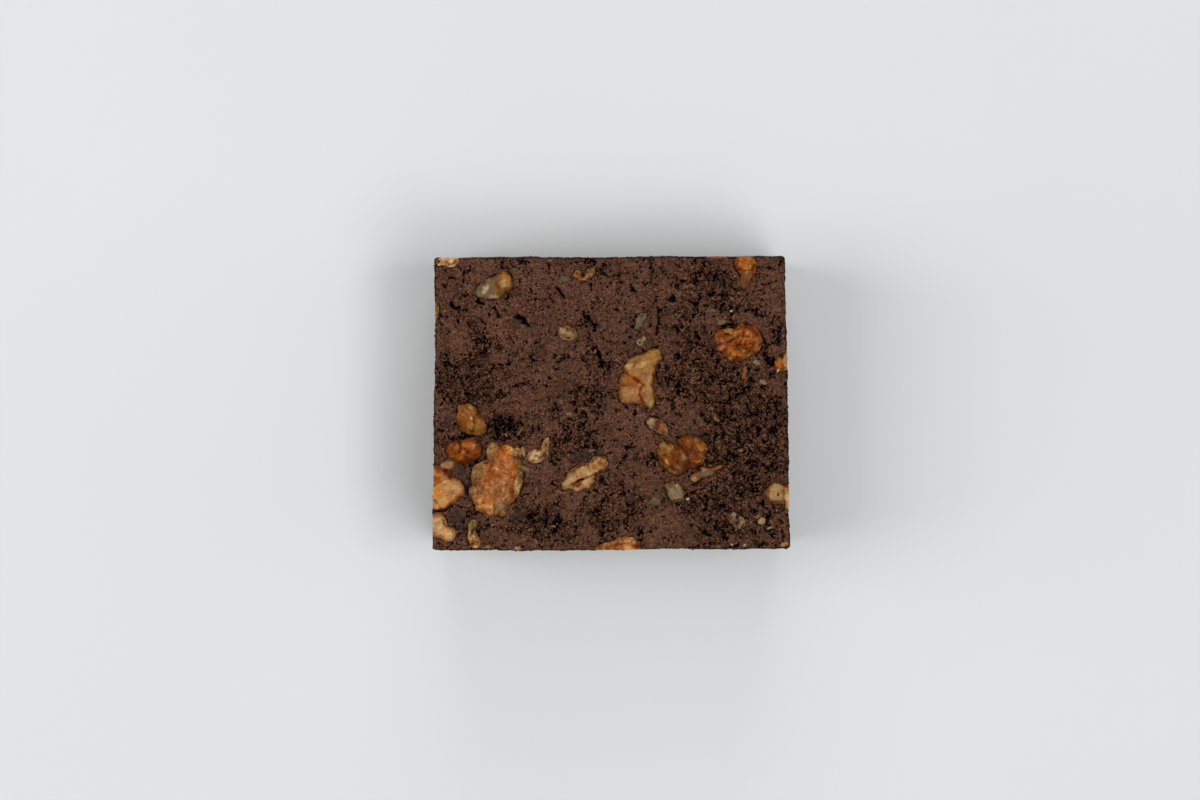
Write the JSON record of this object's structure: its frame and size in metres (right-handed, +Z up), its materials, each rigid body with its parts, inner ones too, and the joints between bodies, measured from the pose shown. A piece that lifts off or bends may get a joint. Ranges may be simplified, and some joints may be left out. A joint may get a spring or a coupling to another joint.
{
  "type": "chocolate brownie with walnuts",
  "caption": "Rectangular cut block of dense chocolate brownie with broken walnut pieces set into its top and sliced open at its sides, resting on a flat underside.",
  "frame": {"origin": "middle of the flat underside", "axes": "+Z up out of the top, +X along the longer side, -Y is the front"},
  "size_m": [0.0669, 0.0554, 0.0277],
  "materials": {
    "crumb": "matte, open granular crumb",
    "walnut_skin": "thin orange-brown skin, slightly oily",
    "walnut_flesh": "cream nut flesh, dull"
  },
  "bodies": {
    "root": {"brownie": "crumb", "walnut_back_left": "walnut_flesh", "walnut_back_right": "walnut_flesh", "walnut_back_strip": "walnut_flesh", "walnut_bar": "walnut_flesh", "walnut_bean": "walnut_skin", "walnut_button": "walnut_flesh", "walnut_crescent": "walnut_flesh", "walnut_crumbly": "walnut_flesh", "walnut_curl": "walnut_skin", "walnut_forked": "walnut_flesh", "walnut_front_arch": "walnut_skin", "walnut_front_left": "walnut_flesh", "walnut_front_low": "walnut_flesh", "walnut_front_right": "walnut_flesh", "walnut_heart": "walnut_skin", "walnut_kite": "walnut_flesh", "walnut_large": "walnut_skin", "walnut_left_back": "walnut_flesh", "walnut_left_block": "walnut_flesh", "walnut_left_front": "walnut_flesh", "walnut_left_large": "walnut_flesh", "walnut_left_strip": "walnut_flesh", "walnut_lower_flake": "walnut_flesh", "walnut_pear": "walnut_skin", "walnut_pip": "walnut_flesh", "walnut_right_back": "walnut_flesh", "walnut_right_front": "walnut_flesh", "walnut_right_knob": "walnut_flesh", "walnut_right_sliver": "walnut_flesh", "walnut_round": "walnut_skin", "walnut_tail": "walnut_flesh", "walnut_tongue": "walnut_skin", "walnut_upper_flake": "walnut_flesh", "walnut_wedge": "walnut_flesh", "walnut_wrinkled": "walnut_skin"}
  },
  "joints": []
}
